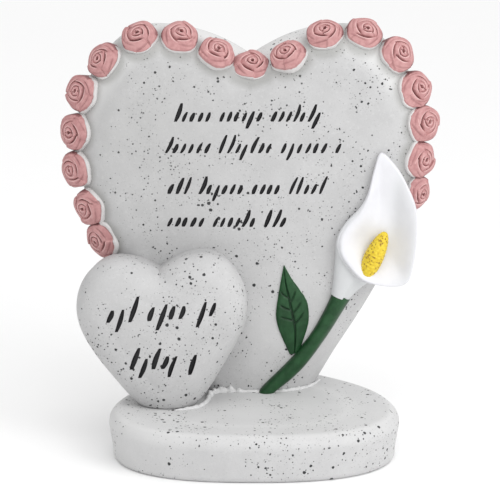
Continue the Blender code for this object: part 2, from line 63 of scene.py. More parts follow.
# The roses from the one in the notch down the right, then down the left from the one beside it: how far each
# lies on along the outline and out toward it, how narrow it is across, and how broad its bare foot shows
ROSES = (
    (0.0, -0.0009, 0.83, 0.4), (-0.0008, -0.0012, 0.8, 0.8), (0.0, -0.0003, 0.83, 0.5),
    (0.0, 0.0014, 0.86, 0.4), (0.0, 0.003, 0.98, 0.4), (0.0008, 0.0021, 1.02, 0.7),
    (0.0006, 0.0023, 1.02, 0.7), (0.0014, 0.0001, 0.93, 0.9), (0.002, 0.0018, 0.8, 0.3),
    (-0.0008, 0.0005, 0.84, 0.5), (0.0, -0.0008, 0.92, 0.4), (0.0009, -0.0008, 0.88, 0.3),
    (0.0026, 0.0016, 0.86, 0.8), (0.0026, 0.0044, 0.95, 1.2), (0.0023, 0.0037, 0.94, 0.9),
    (0.0019, 0.0041, 0.9, 1.1), (0.0022, 0.0016, 0.92, 1.0), (0.0009, 0.0016, 0.87, 1.7),
)
POT_HEIGHT = 0.086
POT_HALF_WIDTH_TOP, POT_HALF_WIDTH_FOOT = 0.034, 0.0255
POT_DEPTH_TOP, POT_DEPTH_FOOT = 0.027, 0.018
POT_WALL, POT_FLOOR = 0.0035, 0.006
POT_RIM_HEIGHT, POT_RIM_LIP, POT_FULLNESS = 0.008, 0.0015, 2.3

# Where the upper casting stands: its face plane is y = 0 and its foot z = 0 in its own measures
SEAT = np.array((MAIN_SHIFT, MAIN_SETBACK, BASE_HEIGHT + SEAT_GAP))
TAU = 2 * math.pi
link = bpy.context.scene.collection.objects.link


# Mesh tools

def closed_form(name, points, faces, material):
    """A mesh object with all its faces turned outward."""
    mesh = bpy.data.meshes.new(name)
    mesh.from_pydata([tuple(p) for p in points], [], faces)
    mesh.materials.append(material)
    form = bpy.data.objects.new(name, mesh)
    link(form)
    tidy = bmesh.new()
    tidy.from_mesh(mesh)
    bmesh.ops.recalc_face_normals(tidy, faces=tidy.faces)
    tidy.to_mesh(mesh)
    tidy.free()
    return form


def make_piece(name, points, faces, material):
    """A mesh piece that rides on the ornament's one body."""
    piece = closed_form(name, points, faces, material)
    piece.data.shade_smooth()
    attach(piece, "root")
    return piece


def grid_faces(rows, columns):
    """Quads between rings of points."""
    faces = []
    for a in range(0, (rows - 1) * columns, columns):
        b = a + columns
        for j in range(columns):
            k = (j + 1) % columns
            faces.append((a + j, a + k, b + k, b + j))
    return faces


def cutter(name, rings, material):
    """A closed form through rings, with flat caps, that only cuts."""
    count = len(rings[0])
    last = (len(rings) - 1) * count
    faces = grid_faces(len(rings), count) + [tuple(range(count)), tuple(range(last, last + count))]
    return closed_form(name, np.concatenate(rings), faces, material)


def loft(name, rings, material, apex=None):
    """A closed form through rings of equal count, with a flat cap first and a flat cap or an apex last."""
    count = len(rings[0])
    points = np.concatenate(rings)
    last = (len(rings) - 1) * count
    faces = grid_faces(len(rings), count) + [tuple(range(count))]
    if apex is None:
        faces.append(tuple(range(last, last + count)))
    else:
        faces += [(last + j, last + (j + 1) % count, len(points)) for j in range(count)]
        points = np.vstack([points, apex])
    return make_piece(name, points, faces, material)


def float_attribute(piece, name, values):
    """One number for each point of a piece, which its paint goes by."""
    layer = piece.data.attributes.new(name, "FLOAT", "POINT")
    layer.data.foreach_set("value", np.asarray(values, dtype=np.float32).ravel())


def cut(body, tools):
    """Cuts the tools out of a piece. The cut faces take the tools' paint."""
    group = bpy.data.collections.new("cutters")
    bpy.context.scene.collection.children.link(group)
    for tool in tools:
        group.objects.link(tool)
    step = body.modifiers.new("cut", "BOOLEAN")
    step.operation = "DIFFERENCE"
    step.solver = "EXACT"
    step.operand_type = "COLLECTION"
    step.collection = group
    step.material_mode = "TRANSFER"
    depsgraph = bpy.context.evaluated_depsgraph_get()
    mesh = bpy.data.meshes.new_from_object(body.evaluated_get(depsgraph))
    body.modifiers.remove(step)
    body.data = mesh
    for tool in tools:
        bpy.data.objects.remove(tool, do_unlink=True)
    bpy.data.collections.remove(group)
    body.data.set_sharp_from_angle(angle=math.radians(38))


def through(points, steps, closed=False):
    """A smooth line through the points, by Catmull-Rom curves."""
    points = [Vector(p) for p in points]
    last = len(points) - 1
    line = []
    for i in range(last + 1 if closed else last):
        a, b = points[i], points[(i + 1) % len(points)]
        before = points[i - 1] if i or closed else a
        after = points[(i + 2) % len(points)] if i + 1 < last or closed else b
        line += interpolate_bezier(a, a + (b - before) / 6, b - (after - a) / 6, b, steps)[:-1]
    if not closed:
        line.append(points[-1])
    return np.array(line)


def even_ring(points, count):
    """The closed line through the points, evenly spaced from its first one."""
    closed = np.vstack([points, points[:1]])
    legs = np.hypot(*np.diff(closed, axis=0).T)
    place = np.concatenate([[0.0], np.cumsum(legs)])
    goals = np.arange(count) * place[-1] / count
    return np.stack([np.interp(goals, place, closed[:, k]) for k in (0, 1)], axis=1)


def soft_step(low, high, value):
    """0 below low, 1 above high and smooth between."""
    t = np.clip((value - low) / (high - low), 0.0, 1.0)
    return t * t * (3 - 2 * t)


def unevenness(seed, wavelength):
    """Slow, smooth unevenness of a casting, about -1 to 1 at given points."""
    rng = np.random.default_rng(seed)
    waves = 9
    headings = rng.normal(size=(waves, 3))
    headings /= np.linalg.norm(headings, axis=1)[:, None]
    pace = headings * (TAU / wavelength) * rng.uniform(0.6, 1.6, (waves, 1))
    phase = rng.uniform(0, TAU, waves)
    return lambda points: np.sin(points @ pace.T + phase).mean(axis=-1) * 1.6


def around(sides):
    """The angles of so many points round a ring."""
    return np.arange(sides) * TAU / sides


def at_depth(flat, y):
    """Points of the front view, at the depth y."""
    return np.stack([flat[..., 0], np.broadcast_to(y, flat.shape[:-1]), flat[..., 1]], axis=-1)


# Heart forms

def heart_half(half_width, height, notch, spread, widest, waist_half_width, waist, tip_depth):
    """The right half of a heart's outline, from its notch down to its tip, as (x, z) points."""
    bottom = Vector((0.0, -tip_depth))
    low = Vector((waist_half_width, waist))
    slope = Vector((0.55, 0.835)) * half_width * 0.4
    dip = Vector((0.0, notch))
    crest = Vector((spread, height))
    side = Vector((half_width, widest))
    drop = widest - waist
    dip_side = dip.lerp(crest, 0.28) + Vector((0, 0.3 * (height - notch)))
    crest_out = crest + Vector(((half_width - spread) * 0.55, 0))
    stretches = (
        (dip, dip_side, crest - Vector((spread * 0.38, 0)), crest),
        (crest, crest_out, side + Vector((0, (height - widest) * 0.55)), side),
        (side, side - Vector((0, drop * 0.33)), low + slope, low),
        (low, low - slope * 0.6, bottom + Vector((waist_half_width * 0.45, 0)), bottom),
    )
    line = []
    for start, leave, arrive, end in stretches:
        line += interpolate_bezier(start, leave, arrive, end, 40)[:-1]
    return np.array(line + [bottom])


def outward(ring):
    """The directions out of a ring that runs clockwise as seen from the front."""
    along = np.roll(ring, -1, axis=0) - np.roll(ring, 1, axis=0)
    along /= np.linalg.norm(along, axis=1)[:, None]
    return np.stack([-along[:, 1], along[:, 0]], axis=1)


def inset_ring(ring, distance):
    """The ring moved inward. Near the narrow tip its two sides stop short of the middle line."""
    moved = ring - outward(ring) * distance
    folded = moved[:, 0] * ring[:, 0] < TIP_SHARE * ring[:, 0] ** 2
    moved[folded, 0] = TIP_SHARE * ring[folded, 0]
    return moved


class Heart:
    """A crowned heart with rounded shoulders. Its face plane is y = 0 and its back is y = thickness."""

    def __init__(self, sides, half, thickness, shoulder_width, shoulder_depth, back_round, crown, taper=0.0):
        mirrored = half[-2:0:-1] * (-1, 1)
        self.outline = even_ring(np.vstack([half, mirrored]), sides)
        self.thickness, self.back_round, self.taper = thickness, back_round, taper
        self.shoulder_width, self.shoulder_depth, self.crown = shoulder_width, shoulder_depth, crown
        self.face = inset_ring(self.outline, shoulder_width)
        self.middle = np.array((0.0, (self.face[:, 1].min() + self.face[:, 1].max()) / 2))
        self.face_reach = self.polar(self.face)
        self.outline_reach = self.polar(self.outline)

    def polar(self, ring):
        """Angles about the middle and how far the ring is there."""
        x, z = np.moveaxis(ring - self.middle, -1, 0)
        return np.arctan2(z, x), np.hypot(x, z)

    def depth(self, flat):
        """The y of the front surface at points of the front view."""
        angle, far = self.polar(flat)
        face = np.interp(angle, *self.face_reach, period=TAU)
        rim = np.interp(angle, *self.outline_reach, period=TAU)
        beyond = np.clip((far - face) / (rim - face), 0.0, 1.0)
        crowned = -self.crown * (1 - (far / face) ** 2)
        return np.where(far <= face, crowned, self.shoulder_depth * (1 - np.sqrt(1 - beyond ** 2)))

    def rings(self):
        """Rings of points from the back edge over the shoulder to the crowned face, and the face's middle."""
        side_y = self.thickness - self.back_round
        rings = []
        for share in (0.0, 0.35, 0.7, 1.0):
            turn = share * math.pi / 2
            inset = self.back_round * (1 - math.sin(turn))
            y = side_y + self.back_round * math.cos(turn)
            rings.append(at_depth(inset_ring(self.outline, inset + self.taper), y))
        for degrees in range(0, 91, 5):
            turn = math.radians(degrees)
            y = self.shoulder_depth * (1 - math.sin(turn))
            if degrees or side_y - y > self.shoulder_depth * 0.05:
                inset = self.shoulder_width * (1 - math.cos(turn))
                rings.append(at_depth(inset_ring(self.outline, inset), y))
        for share in np.linspace(1, 0, 26)[1:-1]:
            flat = self.middle + (self.face - self.middle) * share
            rings.append(at_depth(flat, -self.crown * (1 - share ** 2)))
        return rings, np.array((0.0, -self.crown, self.middle[1]))


def placed(points, lean=0.0, shift=(0.0, 0.0, 0.0)):
    """Points of a form in its own measures, turned, moved and set on the base."""
    turn = np.array(Matrix.Rotation(-lean, 3, "Y"))
    return np.asarray(points) @ turn.T + np.asarray(shift) + SEAT


SMALL_PLACE = {"lean": SMALL_LEAN, "shift": (SMALL_SHIFT, -SMALL_THICKNESS, 0.0)}


# Materials, each built from nodes on the piece's own coordinates

class Nodes:
    """A material's or the world's node tree, with the few kinds of node in use."""

    def __init__(self, owner):
        self.owner = owner
        owner.use_nodes = True
        self.tree = owner.node_tree
        self.place = self.add("TexCoord", {}).outputs["Object"]

    def feed(self, node, inputs):
        """Links each input to another node's output, or sets its plain value."""
        for name, source in inputs.items():
            if hasattr(source, "is_output"):
                self.tree.links.new(source, node.inputs[name])
            else:
                node.inputs[name].default_value = source
        return node

    def add(self, kind, inputs, **settings):
        node = self.tree.nodes.new("ShaderNode" + kind)
        for name, value in settings.items():
            setattr(node, name, value)
        return self.feed(node, inputs)

    def math(self, operation, *values):
        return self.add("Math", dict(enumerate(values)), operation=operation).outputs[0]

    def noise(self, scale, detail=3.0, roughness=0.55):
        inputs = {"Scale": scale, "Detail": detail, "Roughness": roughness, "Vector": self.place}
        return self.add("TexNoise", inputs).outputs[0]

    def uneven(self, scale, amount, least):
        """Numbers from least to least + amount."""
        return self.math("MULTIPLY_ADD", self.noise(scale), amount, least)

    def ramp(self, value, low, high):
        inputs = {"Value": value, "From Min": low, "From Max": high}
        return self.add("MapRange", inputs, interpolation_type="SMOOTHSTEP").outputs["Result"]

    def mix(self, share, under, over):
        under, over = ((*tint, 1) if isinstance(tint, tuple) else tint for tint in (under, over))
        return self.add("Mix", {0: share, 6: under, 7: over}, data_type="RGBA").outputs[2]

    def coat(self, under, share, strength, colour):
        """A colour laid over another, in places as the share says."""
        return self.mix(self.math("MULTIPLY", share, strength), under, colour)

    def attribute(self, name):
        return self.add("Attribute", {}, attribute_name=name).outputs["Fac"]

    def specks(self, scale, kept, smallest, largest, place, crowding):
        """Round specks, one in some of the cells: a share of the cells is kept, more where they crowd."""
        cells = self.add("TexVoronoi", {"Scale": scale, "Vector": place})
        apart = self.add("SeparateColor", {0: cells.outputs["Color"]})
        lives = self.math("LESS_THAN", apart.outputs[0], self.math("MULTIPLY", crowding, kept * 2))
        size = self.math("MULTIPLY_ADD", apart.outputs[1], (largest - smallest) * scale, smallest * scale)
        spot = self.ramp(cells.outputs["Distance"], size, self.math("MULTIPLY", size, 0.8))
        return self.math("MULTIPLY", spot, lives)

    def bump(self, scale, detail, strength, distance, under=None):
        """Relief of noise, over the relief that is under it."""
        inputs = {"Strength": strength, "Distance": distance, "Height": self.noise(scale, detail)}
        if under is not None:
            inputs["Normal"] = under
        return self.add("Bump", inputs).outputs["Normal"]

    def finish(self, colour, rough, normal, gloss):
        inputs = {"Base Color": colour, "Roughness": rough, "Normal": normal, "Specular IOR Level": gloss}
        self.feed(self.tree.nodes["Principled BSDF"], inputs)
        return self.owner


# Specks of three sizes: cells to a metre, share of cells kept, least and greatest radius, strength, colour
SPECKS = (
    (880, 0.7, 0.00014, 0.00029, 0.5, (0.16, 0.16, 0.16)),
    (560, 0.54, 0.00022, 0.00046, 0.97, (0.035, 0.035, 0.037)),
    (300, 0.46, 0.0004, 0.00088, 0.97, (0.012, 0.012, 0.014)),
)


def stone(name, pale, dull):
    """Stone-effect resin: mottling, grey dust and black specks in drifts, paler where painted light is marked
    and darker where painted shade is marked.
    """
    nodes = Nodes(bpy.data.materials.new(name))
    colour = nodes.mix(nodes.ramp(nodes.noise(85, 5, 0.65), 0.3, 0.7), dull, pale)
    dust = nodes.ramp(nodes.noise(2100, 3, 0.6), 0.56, 0.74)
    colour = nodes.coat(colour, dust, 0.32, (0.25, 0.25, 0.26))
    flecks = nodes.ramp(nodes.noise(760, 2, 0.5), 0.54, 0.72)
    colour = nodes.coat(colour, flecks, 0.22, (0.63, 0.63, 0.63))
    # painted light: paler where a piece marks it
    colour = nodes.coat(colour, nodes.attribute("wear_and_painted_light"), 0.8, (0.7, 0.7, 0.695))
    # places moved a little by noise, so that the specks come out ragged
    noise = nodes.add("TexNoise", {"Scale": 1300, "Vector": nodes.place}).outputs["Color"]
    inputs = {0: noise, 1: (0.0006, 0.0006, 0.0006), 2: nodes.place}
    ragged = nodes.add("VectorMath", inputs, operation="MULTIPLY_ADD").outputs[0]
    drifts = nodes.ramp(nodes.noise(52, 4, 0.7), 0.41, 0.62)
    for scale, kept, smallest, largest, strength, tone in SPECKS:
        specks = nodes.specks(scale, kept, smallest, largest, ragged, drifts)
        colour = nodes.coat(colour, specks, strength, tone)
    # painted shade: darker where a piece marks it
    colour = nodes.coat(colour, nodes.attribute("painted_shade"), 0.55, (0.24, 0.24, 0.225))
    normal = nodes.bump(110, 3, 0.1, 0.0012, nodes.bump(1500, 4, 0.12, 0.0004))
    return nodes.finish(colour, nodes.uneven(300, 0.16, 0.46), normal, 0.4)


def paint(name, tone, dark, pale, coats, brush, rough, gloss, bare=None):
    """Hand paint: two tones in blotches, coats by a piece's attributes, and bare resin at its ragged end."""
    nodes = Nodes(bpy.data.materials.new(name))
    scale, detail, low, high = tone
    colour = nodes.mix(nodes.ramp(nodes.noise(scale, detail), low, high), dark, pale)
    for attribute, strength, tint in coats:
        colour = nodes.coat(colour, nodes.attribute(attribute), strength, tint)
    if bare:
        attribute, scale, amount, low, high, tint = bare
        ragged = nodes.math("MULTIPLY", nodes.noise(scale), amount)
        wear_and_painted_light = nodes.math("ADD", nodes.attribute(attribute), ragged)
        colour = nodes.mix(nodes.ramp(wear_and_painted_light, low, high), colour, tint)
    if isinstance(rough, tuple):
        rough = nodes.uneven(*rough)
    return nodes.finish(colour, rough, nodes.bump(*brush), gloss)


def stroke_paint():
    nodes = Nodes(bpy.data.materials.new("stroke_paint"))
    black = nodes.mix(nodes.noise(900, 3), (0.006, 0.006, 0.007), (0.018, 0.018, 0.02))
    return nodes.finish(black, 0.5, nodes.bump(1500, 3, 0.2, 0.0003), 0.3)


STONE = stone("speckled_stone", (0.515, 0.514, 0.516), (0.475, 0.474, 0.476))
# The base's stone is the same stone made paler: painted light, for the brighter light on the base
BASE_STONE_PAINTED_LIGHTER = stone("speckled_base_stone_painted_lighter", (0.552, 0.551, 0.554), (0.518, 0.517, 0.52))
# Rose paint: painted shade in the crevices and between the roses, painted highlight on the petals' lips, and
# bare resin at the foot
ROSE = paint("rose_paint", (420, 4, 0.35, 0.65), (0.44, 0.212, 0.212), (0.52, 0.275, 0.27),
             (("crevice_shade", 0.92, (0.14, 0.04, 0.044)), ("lip", 0.75, (0.72, 0.475, 0.46))),
             (1500, 4, 0.14, 0.0004), (500, 0.2, 0.42), 0.42,
             ("foot", 700, 0.5, 0.92, 1.02, (0.6, 0.585, 0.58)))
# Lily paint: greyer where its fold mark says, which is painted shade on the flower, and on the funnel its own
# greenish-grey together with painted shade
LILY = paint("lily_paint", (70, 3, 0.3, 0.7), (0.7, 0.7, 0.73), (0.75, 0.752, 0.78),
             (("fold", 0.62, (0.56, 0.575, 0.575)),), (900, 3, 0.07, 0.0004), (400, 0.14, 0.34), 0.45)
# Spadix paint: dark spots of painted shade where its pits are
YELLOW = paint("spadix_paint", (900, 3, 0.3, 0.7), (0.66, 0.46, 0.02), (0.78, 0.61, 0.05),
               (("pit", 1.0, (0.25, 0.12, 0.02)),), (2000, 3, 0.2, 0.0003), 0.5, 0.35)
# Leaf paint: darker with painted shade in the leaf's cut veins and along the stem's flanks, and bare resin at
# the edges
GREEN = paint("leaf_paint", (240, 4, 0.3, 0.7), (0.007, 0.046, 0.013), (0.016, 0.074, 0.024),
              (("vein_and_painted_shade", 0.9, (0.002, 0.012, 0.005)),), (1100, 3, 0.12, 0.0004), (500, 0.2, 0.3), 0.32,
              ("edge", 600, 0.3, 1.02, 1.12, (0.5, 0.56, 0.51)))
BLACK = stroke_paint()
JOINT = paint("joint_compound", (500, 4, 0.3, 0.7), (0.6, 0.6, 0.6), (0.72, 0.72, 0.72), (),
              (1600, 5, 0.5, 0.0006), 0.6, 0.35)


# Strokes cut into the hearts where the ornament has its words: slanted marks that spell nothing

STROKE_DEPTH, STROKE_CLEARANCE = 0.0007, 0.002


def stroke_cutter(heart, foot, height, slant, bow, width, place):
    """One brush-like cut: pointed at its top, full in its lower half and a little bowed."""
    t = np.linspace(0, 1, 11)
    girth = width / 2 * (0.25 + 0.75 * np.sin(math.pi * np.clip(t * 0.8 + 0.13, 0, 1)) ** 0.8)
    x = foot[0] + height * (math.tan(slant) * t + bow * np.sin(math.pi * t))
    line = np.stack([x, foot[1] + height * t], 1)
    side = np.stack([girth, 0 * girth], 1)
    loop = np.concatenate([line - side, (line + side)[::-1]])
    face = heart.depth(loop)
    rings = []
    for share, y in ((1.0, -STROKE_CLEARANCE), (1.0, 0.0), (0.45, STROKE_DEPTH)):
        flat = np.concatenate([line, line[::-1]]) * (1 - share) + loop * share
        rings.append(placed(at_depth(flat, face + y), **place))
    return cutter("stroke", rings, BLACK)


def stroke_row(heart, start, end, level, tall, pitch, seed, place):
    """A row of strokes in groups. Some rise above or hang below."""
    rng = np.random.default_rng(seed)
    tools = []
    x = start
    left_in_group = rng.integers(3, 8)
    while x < end:
        kind = rng.choice(3, p=(0.62, 0.26, 0.12))
        height = tall * (0.55, 1.0, 0.95)[kind] * rng.uniform(0.92, 1.06)
        slant = math.radians(rng.uniform(19, 25))
        drop = tall * 0.4 if kind == 2 else 0.0
        foot = (x - drop * math.tan(slant), level - drop)
        bow = rng.uniform(-0.05, 0.07)
        width = tall * rng.uniform(0.2, 0.27)
        tools.append(stroke_cutter(heart, foot, height, slant, bow, width, place))
        x += pitch * rng.uniform(0.9, 1.12)
        left_in_group -= 1
        if not left_in_group:
            x += pitch * 0.9
            left_in_group = rng.integers(3, 8)
    return tools


# The large heart and the small heart

def foot_block():
    """The block that trims the castings level where they stand on the base."""
    corners = ((-0.2, -0.2), (0.2, -0.2), (0.2, 0.2), (-0.2, 0.2))
    return cutter("foot_block", [placed([(x, y, z) for x, y in corners]) for z in (-0.06, 0.0)], STONE)


MAIN_OUTLINE = heart_half(MAIN_HALF_WIDTH, MAIN_HEIGHT, notch=0.1495, spread=0.041, widest=0.11,
                          waist_half_width=0.0395, waist=0.017, tip_depth=0.027)
MAIN_FORM = {"half": MAIN_OUTLINE, "thickness": MAIN_THICKNESS, "shoulder_width": 0.017,
             "shoulder_depth": 0.018, "back_round": 0.002, "crown": 0.002}
MAIN = Heart(380, **MAIN_FORM)
SMALL_OUTLINE = heart_half(SMALL_HALF_WIDTH, SMALL_HEIGHT, notch=0.0605, spread=0.0185, widest=0.0445,
                           waist_half_width=0.0235, waist=0.0135, tip_depth=0.0055)
SMALL = Heart(260, SMALL_OUTLINE, SMALL_THICKNESS + ROOT, shoulder_width=0.013, shoulder_depth=0.012,
              back_round=0.006, crown=0.0025, taper=0.0022)


def heart_body(name, heart, place, seed, amount):
    """A heart's casting with the faint unevenness of its mould."""
    rings, apex = heart.rings()
    uneven = unevenness(seed, 0.03)
    centre = np.array((0.0, heart.thickness / 2, heart.middle[1]))
    moved = []
    for ring in rings:
        wave = uneven(ring)[:, None] * amount
        away = ring - centre
        away /= np.linalg.norm(away, axis=1)[:, None]
        moved.append(placed(ring + away * wave, **place))
    return loft(name, moved, STONE, apex=placed(apex[None], **place)[0])


main_heart = heart_body("large_heart", MAIN, {}, 3, 0.00018)
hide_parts("memorial_heart")
small_heart = heart_body("small_heart", SMALL, SMALL_PLACE, 5, 0.00022)

# Each row of strokes: its start, its end and its level
MAIN_ROWS = ((-0.033, 0.0325, 0.1228), (-0.0372, 0.039, 0.1088), (-0.036, 0.0325, 0.0905),
             (-0.0365, 0.0165, 0.0757))
main_strokes = []
for row, run in enumerate(MAIN_ROWS):
    main_strokes += stroke_row(MAIN, *run, 0.0078, 0.0033, 40 + row, {})
cut(main_heart, main_strokes + [foot_block()])
small_strokes = stroke_row(SMALL, -0.0235, 0.0215, 0.0415, 0.0108, 0.0045, 60, SMALL_PLACE)
small_strokes += stroke_row(SMALL, -0.015, 0.0125, 0.0195, 0.01, 0.0045, 61, SMALL_PLACE)
cut(small_heart, small_strokes + [foot_block()])


# Roses

# Each layer of petals from the bud out: where its lips are and how high, how many petals it has, half the
# angle that each spans, how fast it falls away outward, and how deep and wide the crevice inside its lip is
PETAL_LAYERS = (
    (0.13, 1.02, 2, 1.9, 2.2, 0.26, 0.03),
    (0.34, 1.0, 3, 1.35, 2.0, 0.26, 0.036),
    (0.61, 0.9, 4, 1.02, 1.5, 0.32, 0.044),
    (0.87, 0.5, 5, 0.8, 2.4, 0.1, 0.028),
)
# A rose's skirt, ring by ring: how far down and how wide, how far it spreads over the heart's face, how high
# it lies there, and how bare of paint it is
SKIRT_ROWS = (
    (0.05, 1.01, 0.0, None, 0.3), (0.14, 1.018, 0.01, 0.0011, 0.62), (0.2, 1.02, 0.075, 0.001, 1.0),
    (0.28, 1.022, 0.115, 0.0007, 1.0), (0.36, 1.022, 0.13, 0.0001, 1.0), (0.6, 1.02, 0.11, None, 1.0),
    (1.0, 1.02, 0.08, None, 1.0),
)


def rose_relief(seed, near, angle):
    """Height of a rose over its disc, with the painted shade where each place lies deep in a crevice and the
    painted highlight near a petal's lip.
    The bud lies toward the heart's outline, so the petals are wide on the face's side."""
    rng = np.random.default_rng(seed)
    off = (rng.uniform(-0.09, 0.09), -rng.uniform(0.14, 0.28))
    x = near * np.cos(angle) - off[0] * (1 - near ** 2)
    y = near * np.sin(angle) - off[1] * (1 - near ** 2)
    r, t = np.hypot(x, y), np.arctan2(y, x)
    dome = 1.0 - 0.2 * r ** 2 - 0.52 * r ** 4
    height = dome - 0.4
    crevice_shade, painted_light = np.zeros(r.shape), np.zeros(r.shape)
    spin = rng.uniform(0, TAU)
    hand = 1 if rng.random() < 0.5 else -1
    toward_face = 0.85 + 0.3 * np.sin(angle)
    for lip, top, count, half_angle, fall, depth, width in PETAL_LAYERS:
        spin += rng.uniform(0.5, 1.1)
        for k in range(count):
            middle = spin + hand * TAU * k / count + rng.uniform(-0.18, 0.18)
            d = ((t - middle + math.pi) % TAU - math.pi) / (half_angle * rng.uniform(0.9, 1.1))
            edge = lip * rng.uniform(0.93, 1.08) * (1 + hand * rng.uniform(0.08, 0.17) * d + 0.1 * d ** 2)
            past = r - edge
            crown = top + rng.uniform(-0.04, 0.04) - 0.07 * d ** 2 - 0.9 * soft_step(0.8, 1.15, np.abs(d))
            inner = 6.5 * (np.sqrt(past ** 2 + 0.016 ** 2) - 0.016)
            shape = crown - np.where(past < 0, inner, 0.22 * past + fall * np.abs(past) * past)
            # the crevice is widest by the middle of its petal, and no two are alike
            gape = 1 - soft_step(0.35, 0.98, np.abs(d - rng.uniform(-0.35, 0.35)))
            gap = width * (0.55 + 0.75 * gape) * toward_face
            groove = np.exp(-((past + gap) / gap) ** 2) * gape * rng.uniform(0.55, 1.0) * toward_face
            height = height - depth * groove
            crevice_shade = np.where(shape > height, 0.0, np.maximum(crevice_shade, groove * min(1.0, depth / 0.24)))
            # painted highlight just past each petal's lip
            lit = np.exp(-((past - 0.012) / 0.03) ** 2) * gape
            painted_light = np.where(shape > height, lit, painted_light)
            height = np.maximum(height, shape)
    # two or three pin holes beside the bud, darkened with painted shade
    for _ in range(rng.integers(2, 4)):
        turn, out = rng.uniform(0, TAU), rng.uniform(0.04, 0.22)
        away = np.hypot(x - out * math.cos(turn), y - out * math.sin(turn))
        pit = 1 - soft_step(0.015, 0.055, away)
        height = height - 0.14 * pit
        crevice_shade = np.maximum(crevice_shade, 0.8 * pit)
    return height, np.clip(crevice_shade, 0, 1) * (1 - soft_step(0.9, 1.0, near)), painted_light


def rose(name, centre, normal, along, radius, set_out, narrowed, broad, seed):
    """One rose with its wrapped petals and the skirt that roots it in the heart."""
    sides, turns = 144, 66
    axes = np.stack([along, np.cross(normal, along), normal], axis=1)
    shares = np.linspace(0, 1, turns + 1)[1:] ** 0.95
    angles = around(sides)
    near, angle = np.meshgrid(shares, angles, indexing="ij")
    height, crevice_shade, painted_light = rose_relief(seed, near, angle)
    rng = np.random.default_rng(seed + 500)
    lobes = 1 + 0.026 * np.cos(5 * angle + rng.uniform(0, 6)) + 0.014 * np.cos(3 * angle + rng.uniform(0, 6))
    petals = radius * ROSE_PETALS_SHARE
    reaches = [near * petals * (1 + (lobes - 1) * near ** 2)]
    heights = [height * ROSE_HEIGHT]
    rim_reach, rim_z = reaches[0][-1], heights[0][-1]
    # toward the heart's face the skirt spreads into a low foot that lies on the face
    inner = soft_step(-0.15, 0.45, np.sin(angles))
    ragged = 1 + 0.2 * np.sin(3 * angles + seed) + 0.12 * np.sin(7 * angles + 2 * seed)
    for down, out, spread, lift, _ in SKIRT_ROWS:
        reach = rim_reach * (out + broad * spread * inner * ragged)
        z = rim_z + (-ROSE_SKIRT - rim_z) * down
        if lift is not None:
            across = reach * np.sin(angles) * narrowed - set_out
            spots = np.stack([reach * np.cos(angles), across, np.zeros(sides)], axis=-1) @ axes.T + centre
            on_face = (spots[:, 1] - MAIN.depth(spots[:, [0, 2]]) + lift) / -normal[1]
            z = z + (np.clip(on_face, z, rim_z - 0.0002 * (1 + 4 * down)) - z) * inner
        reaches.append(reach[None])
        heights.append(z[None])
    reach = np.vstack(reaches)
    angle = np.vstack([angle] + [angles[None]] * len(SKIRT_ROWS))
    across = reach * np.sin(angle) * narrowed - set_out
    local = np.stack([reach * np.cos(angle), across, np.vstack(heights)], axis=-1).reshape(-1, 3)
    centre_height = rose_relief(seed, np.array([0.0]), np.array([0.0]))[0][0] * ROSE_HEIGHT
    local = np.vstack([local, [(0.0, -set_out, centre_height)]])
    rows = len(reach)
    faces = grid_faces(rows, sides)
    faces += [((j + 1) % sides, j, rows * sides) for j in range(sides)]
    faces.append(tuple(range((rows - 1) * sides, rows * sides)))
    piece = make_piece(name, placed(centre + local @ axes.T), faces, ROSE)
    # painted shade in the crevices, and a line of painted shade where it meets the roses beside it
    beside = soft_step(0.8, 0.97, np.abs(np.cos(angle))) * (np.sin(angle) < 0.4)
    shade_between_roses = beside * soft_step(0.93, 1.0, reach / petals)
    bare = np.zeros((len(SKIRT_ROWS), sides))
    deep = np.maximum(np.concatenate([crevice_shade, bare]), 0.75 * shade_between_roses)
    # how near each place is to the unpainted foot, most of all on the side toward the heart's face
    facing = soft_step(-0.35, 0.35, np.sin(angle))
    rows_down = np.concatenate([np.zeros(turns), [row[-1] for row in SKIRT_ROWS]])[:, None]
    foot = rows_down * (0.3 + 0.7 * facing)
    for attribute, values in (("crevice_shade", deep), ("lip", np.concatenate([painted_light, bare])), ("foot", foot)):
        float_attribute(piece, attribute, np.append(values.ravel(), 0.0))


